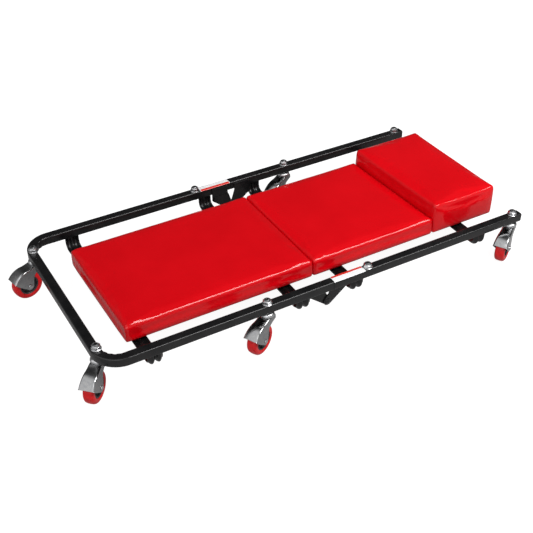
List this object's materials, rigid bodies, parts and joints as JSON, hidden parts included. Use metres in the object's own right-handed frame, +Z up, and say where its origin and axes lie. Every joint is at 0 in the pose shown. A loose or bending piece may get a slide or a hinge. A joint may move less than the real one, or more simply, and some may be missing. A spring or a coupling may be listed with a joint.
{
  "type": "mechanics creeper",
  "caption": "Low padded trolley that a mechanic lies on to work under a car: hinged steel tube frame with vinyl pads, raised headrest and swivelling casters.",
  "frame": {"origin": "on the floor under the middle of the footprint", "axes": "+X along the length towards the headrest, +Y across, +Z up"},
  "size_m": [1.0673, 0.5398, 0.137],
  "materials": {
    "gloss_black": "gloss black paint",
    "bright_zinc": "bright zinc plate",
    "vinyl_red": "smooth glossy red vinyl over foam",
    "tyre_red": "moulded red polyurethane",
    "hub_dark": "dark moulded plastic",
    "plywood": "unfinished plywood",
    "label_white": "plain white strip with a red edge stripe, no lettering",
    "plug_black": "black plastic"
  },
  "bodies": {
    "foot_frame": {"foot_frame_tube": "gloss_black", "foot_crossbar_end": "gloss_black", "foot_crossbar_hinge": "gloss_black", "foot_hinge_leaf_near": "gloss_black", "foot_hinge_leaf_far": "gloss_black", "hinge_pin_near": "gloss_black", "hinge_pin_far": "gloss_black", "foot_board": "plywood", "foot_cushion": "vinyl_red", "foot_plate_bolt": "bright_zinc", "foot_label_strip": "label_white", "foot_near_caster_stem": "bright_zinc", "foot_near_lock_nut": "bright_zinc", "foot_far_caster_stem": "bright_zinc", "foot_far_lock_nut": "bright_zinc", "mid_near_caster_stem": "bright_zinc", "mid_near_lock_nut": "bright_zinc"},
    "head_frame": {"head_rail_near": "gloss_black", "head_rail_far": "gloss_black", "rail_end_plug_near": "plug_black", "rail_end_plug_far": "plug_black", "head_crossbar_end": "gloss_black", "head_crossbar_hinge": "gloss_black", "head_hinge_leaf_near": "gloss_black", "head_hinge_leaf_far": "gloss_black", "head_board": "plywood", "back_cushion": "vinyl_red", "headrest_cushion": "vinyl_red", "head_plate_bolt": "bright_zinc", "head_label_strip": "label_white", "mid_far_caster_stem": "bright_zinc", "mid_far_lock_nut": "bright_zinc", "head_near_caster_stem": "bright_zinc", "head_near_lock_nut": "bright_zinc", "head_far_caster_stem": "bright_zinc", "head_far_lock_nut": "bright_zinc"},
    "foot_near_swivel": {"foot_near_fork": "bright_zinc", "foot_near_axle_bolt": "bright_zinc"},
    "foot_near_wheel": {"foot_near_hub": "hub_dark", "foot_near_tyre": "tyre_red"},
    "foot_far_swivel": {"foot_far_fork": "bright_zinc", "foot_far_axle_bolt": "bright_zinc"},
    "foot_far_wheel": {"foot_far_hub": "hub_dark", "foot_far_tyre": "tyre_red"},
    "mid_near_swivel": {"mid_near_fork": "bright_zinc", "mid_near_axle_bolt": "bright_zinc"},
    "mid_near_wheel": {"mid_near_hub": "hub_dark", "mid_near_tyre": "tyre_red"},
    "mid_far_swivel": {"mid_far_fork": "bright_zinc", "mid_far_axle_bolt": "bright_zinc"},
    "mid_far_wheel": {"mid_far_hub": "hub_dark", "mid_far_tyre": "tyre_red"},
    "head_near_swivel": {"head_near_fork": "bright_zinc", "head_near_axle_bolt": "bright_zinc"},
    "head_near_wheel": {"head_near_hub": "hub_dark", "head_near_tyre": "tyre_red"},
    "head_far_swivel": {"head_far_fork": "bright_zinc", "head_far_axle_bolt": "bright_zinc"},
    "head_far_wheel": {"head_far_hub": "hub_dark", "head_far_tyre": "tyre_red"}
  },
  "joints": [
    {"name": "fold_hinge", "type": "hinge", "parent": "foot_frame", "child": "head_frame", "pos_m": [0.02615, 0, 0.042], "axis": [0, 1, 0], "range_deg": [0, 170]},
    {"name": "foot_near_swivel", "type": "hinge", "parent": "foot_frame", "child": "foot_near_swivel", "pos_m": [-0.47015, -0.1792, 0.0775], "axis": [0, 0, 1], "continuous": true},
    {"name": "foot_near_wheel_spin", "type": "hinge", "parent": "foot_near_swivel", "child": "foot_near_wheel", "pos_m": [-0.48956, -0.19882, 0.0335], "axis": [0.7108, -0.7034, 0], "continuous": true},
    {"name": "foot_far_swivel", "type": "hinge", "parent": "foot_frame", "child": "foot_far_swivel", "pos_m": [-0.47015, 0.1792, 0.0775], "axis": [0, 0, 1], "continuous": true},
    {"name": "foot_far_wheel_spin", "type": "hinge", "parent": "foot_far_swivel", "child": "foot_far_wheel", "pos_m": [-0.4971, 0.17323, 0.0335], "axis": [0.2164, -0.9763, 0], "continuous": true},
    {"name": "mid_near_swivel", "type": "hinge", "parent": "foot_frame", "child": "mid_near_swivel", "pos_m": [-0.12635, -0.2238, 0.0775], "axis": [0, 0, 1], "continuous": true},
    {"name": "mid_near_wheel_spin", "type": "hinge", "parent": "mid_near_swivel", "child": "mid_near_wheel", "pos_m": [-0.15101, -0.2362, 0.0335], "axis": [0.4493, -0.8934, 0], "continuous": true},
    {"name": "mid_far_swivel", "type": "hinge", "parent": "head_frame", "child": "mid_far_swivel", "pos_m": [0.17865, 0.2238, 0.0775], "axis": [0, 0, 1], "continuous": true},
    {"name": "mid_far_wheel_spin", "type": "hinge", "parent": "mid_far_swivel", "child": "mid_far_wheel", "pos_m": [0.15364, 0.21214, 0.0335], "axis": [0.4226, -0.9063, 0], "continuous": true},
    {"name": "head_near_swivel", "type": "hinge", "parent": "head_frame", "child": "head_near_swivel", "pos_m": [0.51115, -0.2238, 0.0775], "axis": [0, 0, 1], "continuous": true},
    {"name": "head_near_wheel_spin", "type": "hinge", "parent": "head_near_swivel", "child": "head_near_wheel", "pos_m": [0.48757, -0.23814, 0.0335], "axis": [0.5195, -0.8545, 0], "continuous": true},
    {"name": "head_far_swivel", "type": "hinge", "parent": "head_frame", "child": "head_far_swivel", "pos_m": [0.51115, 0.2238, 0.0775], "axis": [0, 0, 1], "continuous": true},
    {"name": "head_far_wheel_spin", "type": "hinge", "parent": "head_far_swivel", "child": "head_far_wheel", "pos_m": [0.48757, 0.23814, 0.0335], "axis": [-0.5195, -0.8545, 0], "continuous": true}
  ]
}
